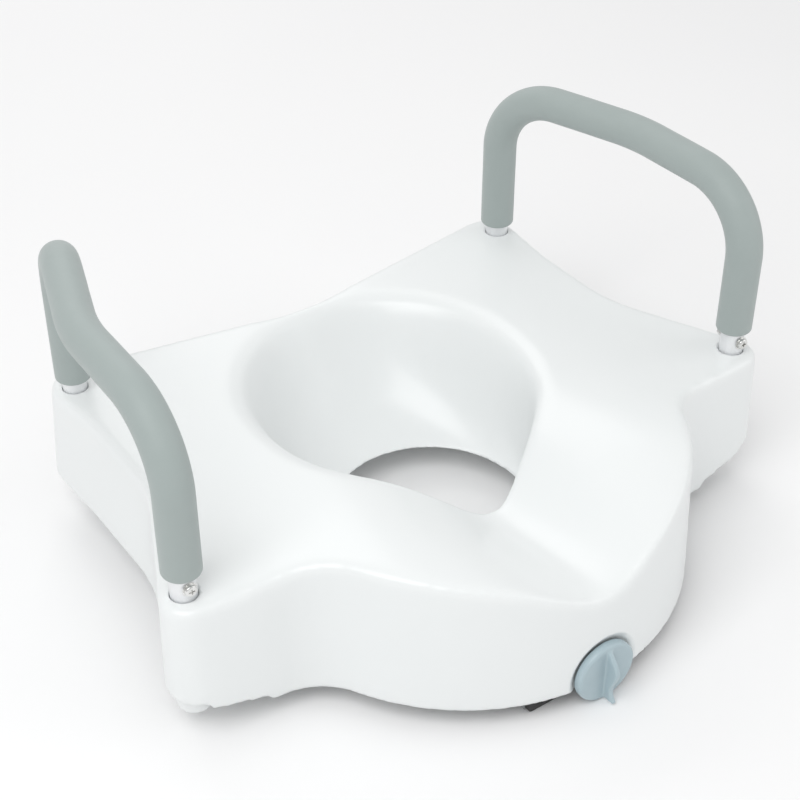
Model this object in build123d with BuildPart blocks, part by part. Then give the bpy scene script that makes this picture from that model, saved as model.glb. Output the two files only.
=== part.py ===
"""Raised toilet seat with lift-out padded arms and a knob-driven front clamp.

Millimetres, +Z up. The front of the seat, with the knob, faces -Y, and left is -X as seen
from the front. The origin is the centre of the footprint, on the level of the lowest point.
"""
from build123d import *
from math import exp
import os

os.makedirs("parts", exist_ok=True)

# ---------------------------------------------------------------- overall sizes
leg_spacing = 266.0         # front legs to rear legs
front_leg_x = 262.0         # centre plane to a front leg
rear_leg_x = 217.0          # centre plane to a rear leg
deck_above_axis = 100.0     # deck, the flat top at the ears, above the knob's axis
skirt_drop = 109.5          # front skirt and feet below the deck
plate_drop = 90.0           # underside plate and side walls below the deck
wall = 4.0                  # moulded wall
skirt_wall = 6.0
skirt_step_x = 216.0        # outside this the front skirt's lower edge steps up and slopes
skirt_step = 5.0
skirt_rise = 14.5           # how far it has risen at a front leg
nose_radius = 185.0         # round front, at the bottom of the skirt
nose_setback = 104.0        # its centre in front of the legs' midpoint

# ---------------------------------------------------------------- plan of the body
draft = 5.0                 # how far the walls spread from deck to skirt bottom
waist_x = 228.0             # sides at the deck, between the ears
waist_spread = 13.0         # extra half-width of the waist at the bottom
waist_slant = 0.46          # how fast the sides leave the front ears, across per along
waist_front_radius = 140.0
waist_rear_radius = 150.0
waist_end = 0.3             # share of the leg spacing behind the middle where the waist ends
ear_margin = 20.5           # plastic around a front leg's axis, at the deck
ear_side_share = 1.45       # side of a front ear, in ear margins from the leg's axis
rear_margin = 29.0          # plastic behind a rear leg's axis, at the deck
rear_side_margin = 22.0     # plastic beside it
rear_corner_radius = 26.0
rear_hollow = 36.0          # how far the rear edge is drawn in at the middle
rear_hollow_radius = 364.0
nose_apex = 26.0            # hidden front corner under the nose, in front of the ears
nose_apex_radius = 10.0
junction_radius = 55.0      # inside corner between nose and front ear

# ---------------------------------------------------------------- top surface
thigh_rise = 12.0           # the two rises beside the front channel
thigh_x = 135.0
thigh_setback = 200.0
thigh_spread_x = 65.0
thigh_spread_y = 95.0
channel_depth = 28.0        # front channel at the front edge
channel_fall = 14.0         # how much deeper it is at the bowl
channel_width = 50.0
channel_start = 60.0        # in front of the legs' midpoint
channel_ramp = 60.0         # length over which it reaches its depth
channel_fall_length = 140.0

# ---------------------------------------------------------------- bowl
bowl_half_width = 117.0
bowl_rear = 117.0           # rear lip behind the legs' midpoint
bowl_front = 130.0
bowl_drop = 6.0             # level of those sizes, below the deck
flare_side = 21.0           # how far the bowl has opened above the deck
flare_rear = 20.0
flare_front = 10.0
throat_drop = 42.0          # level between the bowl and its funnel
throat_half_width = 104.0
throat_rear = 95.0
throat_front = 145.0
hole_half_width = 80.0      # drain opening at the underside
hole_rear = 8.0
hole_front = 146.0
lip_drop = 99.0             # funnel's lower edge below the deck

# ---------------------------------------------------------------- arms
tube_radius = 10.0
tube_wall = 1.5
socket_clearance = 0.6
rail_rise = 146.0           # rail centre line above the deck
kink_x = 260.0              # rail half-way between its legs
corner_radius = 57.5
kink_radius = 140.0
grip_radius = 15.1
grip_clearance = 0.1
front_grip_gap = 20.5       # bare tube between grip and deck
rear_grip_gap = 10.0
socket_floor = 5.0          # plastic under a leg, in its foot
foot_radius = 14.0
plug_flange = 2.0
plug_clearance = 0.1
plug_stem = 12.0
screw_rise = 11.0           # cross screw above the deck
screw_radius = 2.5
screw_head_radius = 4.8
screw_head = 3.0
arm_washer_radius = 5.8
arm_washer_thickness = 0.8
cross_slot = 4.6            # screw's cross recess
cross_slot_width = 1.1
cross_slot_depth = 1.6
screw_dome = 1.4
screw_end = 1.5             # thread that stands past the nut
arm_nut_thickness = 4.0
arm_nut_flats = 8.0

# ---------------------------------------------------------------- knob, rod and clamp
knob_radius = 26.5
knob_thickness = 7.5
knob_edge = 2.5
recess_clearance = 2.0
recess_depth = 6.0
boss_thickness = 8.0        # plastic between knob and inner washer
fin_reach = 12.0
fin_thickness = 4.2
fin_span = 0.93             # fin's half-length, as a share of the knob's radius
rod_radius = 4.0
rod_spare = 14.0            # rod past the jaw, clamp fully open
rod_end_chamfer = 0.8
running_clearance = 0.06
rod_head_flats = 13.0
rod_head = 4.5
washer_thickness = 1.0
face_gap = 0.2              # between flat faces that turn on each other
slide_gap = 0.3             # between the clamp's flange and the faces it slides between
clip_thickness = 1.2
knob_washer_radius = 10.0
rod_washer_radius = 8.5
clip_radius = 7.0
clamp_travel = 42.0
jaw_gap = 17.0              # nose's outer face to the pad's face, clamp closed
jaw_half_width = 60.0
jaw_reach = 25.5            # jaw's lower edge below the knob's axis
pad_to_rod = 1.5
rivet_spread = 0.75         # rivets, as a share of the jaw's half-width
jaw_plate = 2.0
pad_thickness = 4.0
rivet_radius = 1.6
rivet_head_radius = 3.2
rivet_head = 1.2
rivet_sink = 1.5            # depth of the counterbore in the pad
rivet_tail_radius = 2.8
rivet_tail = 1.0
clamp_nut_thickness = 6.5
jaw_corner = 4.0
rod_hole_clearance = 0.5
bay_drop = 80.0             # roof of the clamp bay below the deck
bay_half_width = 66.0
flange_half_width = 34.0
guide_x = 22.0
guide_radius = 2.9
guide_clearance = 0.3
guide_grip = 8.0            # guide screw's length in its boss
guide_washer_radius = 7.0
guide_head_radius = 5.2
guide_head = 2.6
guide_gap = 1.5             # between the open jaw and a guide washer
bay_spare = 2.0             # behind the open clamp's flange
ledge_drop = 100.0          # rim ledge below the deck
ledge_setback = 50.0
ledge_half_width = 150.0
ledge_half_length = 158.0
ledge_across = 54.0         # ledge's width at the sides
ledge_along = 46.0          # and at the rear
rim_pad_thickness = 5.0
rim_pad_width = 16.0
rim_pad_corner = 4.0
side_pad_x = 122.0
side_pad_setback = 30.0
side_pad_length = 60.0
rear_pad_x = 62.0
rear_pad_back = 66.0
rear_pad_length = 44.0
rear_pad_turn = 57.0

# ---------------------------------------------------------------- levels worked out from those
knob_axis_z = knob_radius
deck_z = knob_axis_z + deck_above_axis
skirt_z = deck_z - skirt_drop
plate_z = deck_z - plate_drop
bay_z = deck_z - bay_drop
ledge_z = deck_z - ledge_drop
lip_z = deck_z - lip_drop
jaw_z = knob_axis_z - jaw_reach
rail_z = deck_z + rail_rise
above_deck = 20.0           # blank stands this much over the deck before the top is cut
top_cut = 80.0              # height of the cut that leaves the top surface
beyond = 400.0              # cuts that pass the whole seat
overrun = 10.0              # cuts start this far outside what they cut
ear_depth = 120.0           # cuts at the front ears reach this far past their legs
boss_reach = 40.0           # solid plastic behind the nose's face, around the rod
top_overlap = 60.0          # the cutting surface reaches past the legs by this


def spread(height):
    """Share of the draft reached at a height: 0 at the deck, 1 at the skirt's bottom."""
    return (deck_z - height) / skirt_drop


def outline_points(height):
    """Corner points of the plan without its nose, about the legs' midpoint."""
    out = draft * spread(height)
    waist = waist_x + waist_spread * spread(height)
    front = leg_spacing / 2 + ear_margin + out
    rear = leg_spacing / 2 + rear_margin + out
    ear_x = front_leg_x + ear_side_share * ear_margin + out
    back_x = rear_leg_x + rear_side_margin + out
    waist_front = front - (ear_x - waist) / waist_slant
    right = [
        (ear_x, -front),
        (waist, -waist_front),
        (waist, waist_end * leg_spacing),
        (back_x, rear + draft),
    ]
    left = [(-x, y) for x, y in reversed(right)]
    left_to_right = [(0.0, -front - nose_apex)] + right
    return left_to_right + [(0.0, rear - rear_hollow)] + left


def outline_radii(height):
    """Corner radii that go with outline_points."""
    out = draft * spread(height)
    right = [ear_margin + out, waist_front_radius, waist_rear_radius, rear_corner_radius + out]
    return [nose_apex_radius] + right + [rear_hollow_radius] + right[::-1]


def body_outline(height, grow=0.0):
    """Plan of the body at a height, as a sketch, grown or shrunk by grow."""
    with BuildSketch(Plane.XY.offset(height)) as plan:
        with BuildLine():
            points = [(x, y + mid_y) for x, y in outline_points(height)]
            FilletPolyline(*points, radius=outline_radii(height), close=True)
        make_face()
        with Locations((0, nose_y)):
            Circle(nose_radius - draft * (1 - spread(height)))
        inner_y = mid_y - leg_spacing / 2 - 2 * ear_margin
        for x in (-nose_radius, nose_radius):
            inner_corner = plan.vertices().sort_by_distance((x, inner_y, height))[0]
            fillet(inner_corner, junction_radius)
        if grow:
            offset(amount=grow, mode=Mode.REPLACE)
    return plan.sketch


# The body lies about the origin once its plan and the knob are centred on it.
mid_y = 0.0
nose_y = -nose_setback
rear_reach = body_outline(plate_z).bounding_box().max.Y
nose_at_axis = nose_radius - draft * (1 - spread(knob_axis_z))
knob_reach = knob_thickness - recess_depth + washer_thickness + 2 * face_gap + fin_reach
front_reach = nose_setback + nose_at_axis + knob_reach
mid_y = (front_reach - rear_reach) / 2
nose_y = mid_y - nose_setback
front_leg_y = mid_y - leg_spacing / 2
rear_leg_y = mid_y + leg_spacing / 2
nose_face_y = nose_y - nose_at_axis
legs = [(sign * x, y) for sign in (-1, 1) for x, y in
        ((front_leg_x, front_leg_y), (rear_leg_x, rear_leg_y))]


def ease(value):
    """Smooth step from 0 to 1."""
    value = min(max(value, 0.0), 1.0)
    return value * value * (3 - 2 * value)


def top_height(x, y):
    """Height of the seat's upper surface, without the bowl."""
    forward = mid_y - y
    across = (abs(x) - thigh_x) / thigh_spread_x
    along = (forward - thigh_setback) / thigh_spread_y
    rise = thigh_rise * exp(-across ** 2 - along ** 2)
    inward = nose_setback + nose_radius - forward
    depth = channel_depth + channel_fall * ease(inward / channel_fall_length)
    depth *= ease((forward - channel_start) / channel_ramp)
    return deck_z + rise - depth * exp(-(x / channel_width) ** 2)


def top_face(drop=0.0):
    """The upper surface over the whole plan, lowered by drop."""
    half_x = front_leg_x + top_overlap
    from_y = nose_face_y - top_overlap / 2
    to_y = rear_leg_y + top_overlap
    count = 44
    rows = []
    for i in range(count):
        x = half_x * (2 * i / (count - 1) - 1)
        row = []
        for j in range(count):
            y = from_y + (to_y - from_y) * j / (count - 1)
            row.append((x, y, top_height(x, y) - drop))
        rows.append(row)
    return Face.make_surface_from_array_of_points(rows, tol=0.05)


def bowl_sections(grow=0.0):
    """Ellipses of the bowl down to the funnel's lip, grown outwards and downwards by grow."""
    levels = [
        (-above_deck, bowl_half_width + flare_side, bowl_rear + flare_rear,
         bowl_front + flare_front),
        (bowl_drop, bowl_half_width, bowl_rear, bowl_front),
        (throat_drop, throat_half_width, throat_rear, throat_front),
        (lip_drop, hole_half_width, hole_rear, hole_front),
    ]
    faces = []
    for drop, half_width, rear, front in levels:
        centre = mid_y + (rear - front) / 2
        with BuildSketch(Plane.XY.offset(deck_z - drop - grow)) as section:
            with Locations((0, centre)):
                Ellipse(half_width + grow, (rear + front) / 2 + grow)
        faces.append(section.sketch)
    return faces


jaw_face_y = nose_face_y + jaw_gap
plate_front_y = jaw_face_y + pad_thickness
guide_y = plate_front_y + jaw_plate + clamp_travel + guide_washer_radius + guide_gap
flange_end_y = guide_y + guide_washer_radius
bay_end_y = flange_end_y + clamp_travel + bay_spare
bay_front_y = nose_face_y + recess_depth + boss_thickness

skirt_end_reach = front_leg_x + ear_margin + foot_radius - skirt_step_x
skirt_end_x = skirt_step_x + skirt_end_reach
skirt_slope = (skirt_rise - skirt_step) / (front_leg_x - skirt_step_x)

# ---------------------------------------------------------------- seat shell
with BuildPart() as cavity:
    loft([body_outline(plate_z + wall, -wall), body_outline(deck_z + above_deck, -wall)], ruled=True)
    extrude(top_face(wall), amount=top_cut, dir=(0, 0, 1), mode=Mode.SUBTRACT)
    loft(bowl_sections(wall), mode=Mode.SUBTRACT)
    with Locations(*[(x, y, deck_z) for x, y in legs]):
        Cylinder(foot_radius + 1, beyond, mode=Mode.SUBTRACT)
    with Locations((0, (nose_face_y + bay_end_y) / 2, bay_z)):
        Box(2 * (bay_half_width + wall), bay_end_y - nose_face_y + 2 * wall, 2 * wall,
            mode=Mode.SUBTRACT)
    with Locations((-guide_x, guide_y, bay_z), (guide_x, guide_y, bay_z)):
        Cylinder(guide_radius + wall, 2 * (guide_grip + wall), mode=Mode.SUBTRACT)
    with BuildSketch(Plane.XZ.offset(-nose_face_y - boss_reach)) as boss:
        with Locations((0, knob_axis_z)):
            Circle(knob_radius + recess_clearance + wall)
    extrude(amount=boss_reach + overrun, mode=Mode.SUBTRACT)

with BuildPart() as undercut:
    with Locations((0, 0, plate_z)):
        Box(2 * beyond, 2 * beyond, 2 * (plate_z - skirt_z + overrun))
    split(bisect_by=Plane.XY.offset(plate_z), keep=Keep.BOTTOM)
    with BuildSketch(Plane.XY.offset(skirt_z - overrun)) as skirt:
        add(body_outline(skirt_z, overrun))
        add(body_outline(skirt_z, -skirt_wall), mode=Mode.SUBTRACT)
        with Locations((0, front_leg_y + beyond)):
            Rectangle(2 * beyond, 2 * beyond, mode=Mode.SUBTRACT)
        for sign in (-1, 1):
            with Locations((sign * (front_leg_x + ear_depth), front_leg_y)):
                Rectangle(2 * ear_depth, 2 * ear_depth, mode=Mode.SUBTRACT)
    extrude(amount=plate_z - skirt_z + 2 * overrun, mode=Mode.SUBTRACT)
    with BuildSketch(Plane.XZ.offset(-front_leg_y)) as skirt_ends:
        for sign in (-1, 1):
            with BuildLine():
                Polyline(
                    (sign * skirt_step_x, skirt_z - skirt_step),
                    (sign * skirt_end_x, skirt_z - skirt_step),
                    (sign * skirt_end_x, skirt_z + skirt_step + skirt_slope * skirt_end_reach),
                    (sign * skirt_step_x, skirt_z + skirt_step),
                    (sign * skirt_step_x, skirt_z - skirt_step),
                )
            make_face()
    extrude(amount=ear_depth)

# the funnel's lower end, which hangs under the plate
with BuildPart() as funnel:
    loft(bowl_sections(wall))
    split(bisect_by=Plane.XY.offset(plate_z + 1), keep=Keep.BOTTOM)
    split(bisect_by=Plane.XY.offset(lip_z), keep=Keep.TOP)

with BuildPart() as seat_shell:
    loft([body_outline(skirt_z), body_outline(deck_z + above_deck)], ruled=True)
    extrude(top_face(), amount=top_cut, dir=(0, 0, 1), mode=Mode.SUBTRACT)
    add(undercut.part, mode=Mode.SUBTRACT)
    add(cavity.part, mode=Mode.SUBTRACT)
    # feet, which hold the four sockets
    for x, y in legs:
        with BuildSketch(Plane.XY.offset(skirt_z)) as foot:
            with Locations((x, y)):
                Circle(foot_radius)
        extrude(amount=deck_z - skirt_z - 1)
    add(funnel.part)
    # raised ledge that lies over the toilet's rim
    with BuildSketch(Plane.XY.offset(ledge_z)) as ledge:
        with Locations((0, mid_y - ledge_setback)):
            Ellipse(ledge_half_width, ledge_half_length)
            Ellipse(ledge_half_width - ledge_across, ledge_half_length - ledge_along,
                    mode=Mode.SUBTRACT)
        with Locations((0, nose_y - nose_radius / 2)):
            Rectangle(2 * bay_half_width, 1.5 * nose_radius, mode=Mode.SUBTRACT)
    extrude(amount=plate_z - ledge_z + 1)
    loft(bowl_sections(), mode=Mode.SUBTRACT)
    # clamp bay
    with BuildSketch(Plane.XY.offset(ledge_z)) as bay:
        with Locations((0, (bay_front_y + bay_end_y) / 2)):
            Rectangle(2 * bay_half_width, bay_end_y - bay_front_y)
        add(body_outline(ledge_z, -skirt_wall), mode=Mode.INTERSECT)
    extrude(amount=bay_z - ledge_z, mode=Mode.SUBTRACT)
    # boss behind the knob, its recess and the rod's bore
    with BuildSketch(Plane.XZ.offset(-bay_front_y)) as rod_boss:
        with Locations((0, knob_axis_z)):
            Circle(knob_radius + recess_clearance + wall)
        with Locations((0, skirt_z - beyond)):
            Rectangle(2 * beyond, 2 * beyond, mode=Mode.SUBTRACT)
    extrude(amount=boss_thickness)
    with BuildSketch(Plane.XZ.offset(-nose_face_y - recess_depth)) as pocket:
        with Locations((0, knob_axis_z)):
            Circle(knob_radius + recess_clearance)
    extrude(amount=boss_reach, mode=Mode.SUBTRACT)
    with BuildSketch(Plane.XZ.offset(-bay_front_y)) as bore:
        with Locations((0, knob_axis_z)):
            Circle(rod_radius + running_clearance)
    extrude(amount=boss_reach, both=True, mode=Mode.SUBTRACT)
    # sockets for the arms' legs, and pilot holes for the guide screws
    with BuildSketch(Plane.XY.offset(skirt_z + socket_floor)) as sockets:
        with Locations(*legs):
            Circle(tube_radius + socket_clearance)
    extrude(amount=beyond, mode=Mode.SUBTRACT)
    with BuildSketch(Plane.XY.offset(bay_z)) as pilots:
        with Locations((-guide_x, guide_y), (guide_x, guide_y)):
            Circle(guide_radius)
    extrude(amount=guide_grip, both=True, mode=Mode.SUBTRACT)
seat_shell.part.label = "seat_shell"
export_step(seat_shell.part, "parts/seat_shell.step")

# ---------------------------------------------------------------- arms
screw_z = deck_z + screw_rise
leg_bottom_z = skirt_z + socket_floor + face_gap + plug_flange


def arm_path(sign, front_z, rear_z):
    """Centre line of an arm from a height on its front leg to one on its rear leg."""
    with BuildLine() as path:
        FilletPolyline(
            (sign * front_leg_x, front_leg_y, front_z),
            (sign * front_leg_x, front_leg_y, rail_z),
            (sign * kink_x, mid_y, rail_z),
            (sign * rear_leg_x, rear_leg_y, rail_z),
            (sign * rear_leg_x, rear_leg_y, rear_z),
            radius=[corner_radius, kink_radius, corner_radius],
        )
    return path.line


for side, sign in (("left", -1), ("right", 1)):
    cross_plane = Plane(origin=(sign * front_leg_x, front_leg_y, screw_z),
                        x_dir=(1, 0, 0), z_dir=(0, -1, 0))
    washer_y = tube_radius + arm_washer_thickness

    with BuildPart() as arm_tube:
        with BuildSketch(Plane.XY.offset(leg_bottom_z)) as tube_section:
            with Locations((sign * front_leg_x, front_leg_y)):
                Circle(tube_radius)
                Circle(tube_radius - tube_wall, mode=Mode.SUBTRACT)
        sweep(path=arm_path(sign, leg_bottom_z, leg_bottom_z))
        with BuildSketch(cross_plane) as cross_hole:
            Circle(screw_radius + running_clearance)
        extrude(amount=2 * tube_radius, both=True, mode=Mode.SUBTRACT)
    arm_tube.part.label = "arm_tube_" + side
    export_step(arm_tube.part, "parts/arm_tube_" + side + ".step")

    with BuildPart() as arm_grip:
        with BuildSketch(Plane.XY.offset(deck_z + front_grip_gap)) as grip_section:
            with Locations((sign * front_leg_x, front_leg_y)):
                Circle(grip_radius)
                Circle(tube_radius + grip_clearance, mode=Mode.SUBTRACT)
        sweep(path=arm_path(sign, deck_z + front_grip_gap, deck_z + rear_grip_gap))
    arm_grip.part.label = "arm_grip_" + side
    export_step(arm_grip.part, "parts/arm_grip_" + side + ".step")

    with BuildPart() as arm_plugs:
        with BuildSketch(Plane.XY.offset(leg_bottom_z - plug_flange)) as flanges:
            with Locations((sign * front_leg_x, front_leg_y), (sign * rear_leg_x, rear_leg_y)):
                Circle(tube_radius)
        extrude(amount=plug_flange)
        with BuildSketch(Plane.XY.offset(leg_bottom_z)) as stems:
            with Locations((sign * front_leg_x, front_leg_y), (sign * rear_leg_x, rear_leg_y)):
                Circle(tube_radius - tube_wall - plug_clearance)
        extrude(amount=plug_stem)
    arm_plugs.part.label = "arm_plugs_" + side
    export_step(arm_plugs.part, "parts/arm_plugs_" + side + ".step")

    with BuildPart() as arm_screw:
        with BuildSketch(cross_plane.offset(washer_y)) as screw_head_face:
            Circle(screw_head_radius)
        extrude(amount=screw_head)
        fillet(arm_screw.edges().sort_by(Axis.Y)[0], screw_dome)
        with BuildSketch(cross_plane.offset(washer_y + screw_head)) as cross_recess:
            Rectangle(cross_slot_width, cross_slot)
            Rectangle(cross_slot, cross_slot_width)
        extrude(amount=-cross_slot_depth, mode=Mode.SUBTRACT)
        with BuildSketch(cross_plane.offset(washer_y)) as shank:
            Circle(screw_radius)
        extrude(amount=-(washer_y + tube_radius + arm_nut_thickness + screw_end))
    arm_screw.part.label = "arm_screw_" + side
    export_step(arm_screw.part, "parts/arm_screw_" + side + ".step")

    with BuildPart() as arm_washer:
        with BuildSketch(cross_plane.offset(tube_radius)) as washer_face:
            Circle(arm_washer_radius)
            Circle(screw_radius + running_clearance, mode=Mode.SUBTRACT)
        extrude(amount=arm_washer_thickness)
    arm_washer.part.label = "arm_washer_" + side
    export_step(arm_washer.part, "parts/arm_washer_" + side + ".step")

    with BuildPart() as arm_nut:
        with BuildSketch(cross_plane.offset(-tube_radius)) as nut_face:
            RegularPolygon(arm_nut_flats / 2, 6, major_radius=False)
            Circle(screw_radius + running_clearance, mode=Mode.SUBTRACT)
        extrude(amount=-arm_nut_thickness)
    arm_nut.part.label = "arm_nut_" + side
    export_step(arm_nut.part, "parts/arm_nut_" + side + ".step")

# ---------------------------------------------------------------- knob and rod
floor_y = nose_face_y + recess_depth                  # recess floor
knob_back_y = floor_y - washer_thickness - 2 * face_gap
knob_front_y = knob_back_y - knob_thickness
rod_end_y = plate_front_y + clamp_travel + rod_spare


def facing_front(y):
    """Plane across the knob's axis at y, with its normal to the front."""
    return Plane(origin=(0, y, knob_axis_z), x_dir=(1, 0, 0), z_dir=(0, -1, 0))


with BuildPart() as lock_knob:
    with BuildSketch(facing_front(knob_back_y)) as disc:
        Circle(knob_radius)
    extrude(amount=knob_thickness)
    fillet(lock_knob.edges().sort_by(Axis.Y)[0], knob_edge)
    with BuildSketch(Plane.YZ) as fin:
        with BuildLine():
            tip = knob_front_y - fin_reach
            Spline(
                (knob_front_y + 1, knob_axis_z + fin_span * knob_radius),
                (knob_front_y - 0.6 * fin_reach, knob_axis_z + 0.6 * knob_radius),
                (tip, knob_axis_z + 0.26 * knob_radius),
                (knob_front_y - 0.72 * fin_reach, knob_axis_z - 0.2 * knob_radius),
                (tip + 1, knob_axis_z - 0.9 * knob_radius),
            )
            Line((tip + 1, knob_axis_z - 0.9 * knob_radius),
                 (knob_front_y + 1, knob_axis_z - fin_span * knob_radius))
            Line((knob_front_y + 1, knob_axis_z - fin_span * knob_radius),
                 (knob_front_y + 1, knob_axis_z + fin_span * knob_radius))
        make_face()
    extrude(amount=fin_thickness / 2, both=True)
    with BuildSketch(facing_front(knob_back_y)) as hex_pocket:
        RegularPolygon(rod_head_flats / 2, 6, major_radius=False)
    extrude(amount=rod_head, mode=Mode.SUBTRACT)
lock_knob.part.label = "lock_knob"
export_step(lock_knob.part, "parts/lock_knob.step")

with BuildPart() as lock_rod:
    with BuildSketch(facing_front(knob_back_y)) as rod_hex:
        RegularPolygon(rod_head_flats / 2, 6, major_radius=False)
    extrude(amount=rod_head)
    with BuildSketch(facing_front(knob_back_y)) as rod_section:
        Circle(rod_radius)
    extrude(amount=-(rod_end_y - knob_back_y))
    chamfer(lock_rod.edges().sort_by(Axis.Y)[-1], rod_end_chamfer)
lock_rod.part.label = "lock_rod"
export_step(lock_rod.part, "parts/lock_rod.step")

inner_washer_y = bay_front_y + face_gap
clip_y = inner_washer_y + washer_thickness
for name, start_y, thickness, radius in (
    ("knob_washer", floor_y - face_gap - washer_thickness, washer_thickness, knob_washer_radius),
    ("rod_washer", inner_washer_y, washer_thickness, rod_washer_radius),
    ("rod_clip", clip_y, clip_thickness, clip_radius),
):
    with BuildPart() as ring:
        with BuildSketch(facing_front(start_y)) as ring_face:
            Circle(radius)
            Circle(rod_radius, mode=Mode.SUBTRACT)
        extrude(amount=-thickness)
    ring.part.label = name
    export_step(ring.part, "parts/" + name + ".step")

# ---------------------------------------------------------------- clamp
flange_top_z = bay_z - slide_gap
flange_z = flange_top_z - jaw_plate
slot_length = clamp_travel + 2 * (guide_radius + guide_clearance)
pad_top_z = knob_axis_z - rod_radius - pad_to_rod
rivet_x = rivet_spread * jaw_half_width
rivet_z = (jaw_z + pad_top_z) / 2

with BuildPart() as clamp_bracket:
    with BuildSketch(facing_front(plate_front_y)) as jaw:
        with Locations((0, (jaw_z + pad_top_z) / 2 - knob_axis_z)):
            Rectangle(2 * jaw_half_width, pad_top_z - jaw_z)
        with Locations((0, (jaw_z + flange_top_z) / 2 - knob_axis_z)):
            Rectangle(2 * flange_half_width, flange_top_z - jaw_z)
        fillet(jaw.vertices().group_by(Axis.Z)[0], jaw_corner)
        Circle(rod_radius + rod_hole_clearance, mode=Mode.SUBTRACT)
        with Locations((-rivet_x, rivet_z - knob_axis_z), (rivet_x, rivet_z - knob_axis_z)):
            Circle(rivet_radius, mode=Mode.SUBTRACT)
    extrude(amount=-jaw_plate)
    with BuildSketch(Plane.XY.offset(flange_z)) as flange:
        with Locations((0, (plate_front_y + flange_end_y) / 2)):
            Rectangle(2 * flange_half_width, flange_end_y - plate_front_y)
        for x in (-guide_x, guide_x):
            with Locations((x, guide_y - clamp_travel / 2)):
                SlotOverall(slot_length, 2 * (guide_radius + guide_clearance), rotation=90,
                            mode=Mode.SUBTRACT)
    extrude(amount=jaw_plate)
clamp_bracket.part.label = "clamp_bracket"
export_step(clamp_bracket.part, "parts/clamp_bracket.step")

with BuildPart() as clamp_pad:
    with BuildSketch(facing_front(jaw_face_y)) as pad_face:
        with Locations((0, rivet_z - knob_axis_z)):
            RectangleRounded(2 * jaw_half_width - jaw_corner, pad_top_z - jaw_z, jaw_corner)
        with Locations((-rivet_x, rivet_z - knob_axis_z), (rivet_x, rivet_z - knob_axis_z)):
            Circle(rivet_radius, mode=Mode.SUBTRACT)
    extrude(amount=-pad_thickness)
    with BuildSketch(facing_front(jaw_face_y)) as counterbores:
        with Locations((-rivet_x, rivet_z - knob_axis_z), (rivet_x, rivet_z - knob_axis_z)):
            Circle(rivet_head_radius)
    extrude(amount=-rivet_sink, mode=Mode.SUBTRACT)
clamp_pad.part.label = "clamp_pad"
export_step(clamp_pad.part, "parts/clamp_pad.step")

with BuildPart() as pad_rivets:
    for x in (-rivet_x, rivet_x):
        with BuildSketch(facing_front(jaw_face_y + rivet_sink - rivet_head)) as rivet_head_face:
            with Locations((x, rivet_z - knob_axis_z)):
                Circle(rivet_head_radius)
        extrude(amount=-rivet_head)
        with BuildSketch(facing_front(jaw_face_y + rivet_sink)) as rivet_shank:
            with Locations((x, rivet_z - knob_axis_z)):
                Circle(rivet_radius)
        extrude(amount=-(pad_thickness - rivet_sink + jaw_plate))
        with BuildSketch(facing_front(plate_front_y + jaw_plate)) as rivet_tail_face:
            with Locations((x, rivet_z - knob_axis_z)):
                Circle(rivet_tail_radius)
        extrude(amount=-rivet_tail)
pad_rivets.part.label = "pad_rivets"
export_step(pad_rivets.part, "parts/pad_rivets.step")

with BuildPart() as clamp_nut:
    with BuildSketch(facing_front(plate_front_y + jaw_plate)) as nut_face:
        RegularPolygon(rod_head_flats / 2, 6, major_radius=False)
        Circle(rod_radius + running_clearance, mode=Mode.SUBTRACT)
    extrude(amount=-clamp_nut_thickness)
clamp_nut.part.label = "clamp_nut"
export_step(clamp_nut.part, "parts/clamp_nut.step")

# ---------------------------------------------------------------- fixed pieces under the plate
guide_washer_z = flange_z - slide_gap
with BuildPart() as guide_washers:
    with BuildSketch(Plane.XY.offset(guide_washer_z)) as guide_washer_faces:
        with Locations((-guide_x, guide_y), (guide_x, guide_y)):
            Circle(guide_washer_radius)
            Circle(guide_radius, mode=Mode.SUBTRACT)
    extrude(amount=-washer_thickness)
guide_washers.part.label = "guide_washers"
export_step(guide_washers.part, "parts/guide_washers.step")

with BuildPart() as guide_screws:
    head_z = guide_washer_z - washer_thickness
    for x in (-guide_x, guide_x):
        with BuildSketch(Plane.XY.offset(head_z)) as guide_head_face:
            with Locations((x, guide_y)):
                Circle(guide_head_radius)
        extrude(amount=-guide_head)
        with BuildSketch(Plane.XY.offset(head_z)) as guide_shank:
            with Locations((x, guide_y)):
                Circle(guide_radius)
        extrude(amount=bay_z + guide_grip - 1 - head_z)
guide_screws.part.label = "guide_screws"
export_step(guide_screws.part, "parts/guide_screws.step")

with BuildPart() as rim_pads:
    with BuildSketch(Plane.XY.offset(ledge_z)) as pad_faces:
        for sign in (-1, 1):
            with Locations((sign * side_pad_x, mid_y - side_pad_setback)):
                RectangleRounded(rim_pad_width, side_pad_length, rim_pad_corner)
            with Locations(Location((sign * rear_pad_x, mid_y + rear_pad_back), sign * rear_pad_turn)):
                RectangleRounded(rim_pad_width, rear_pad_length, rim_pad_corner)
    extrude(amount=-rim_pad_thickness)
rim_pads.part.label = "rim_pads"
export_step(rim_pads.part, "parts/rim_pads.step")
print("middle", mid_y, "front", nose_face_y, "shell solids", len(seat_shell.part.solids()))
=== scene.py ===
"""Raised toilet seat with lift-out padded arms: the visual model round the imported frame.

Sizes are in metres. +Z is up, the front of the seat with its knob faces -Y, and left is -X as
seen from the front.
"""

import logging
import math
from dataclasses import dataclass
from enum import Enum
from typing import Callable, Iterable, Sequence

import bmesh
import bpy
import numpy as np
from mathutils import Matrix, Vector, noise


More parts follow.
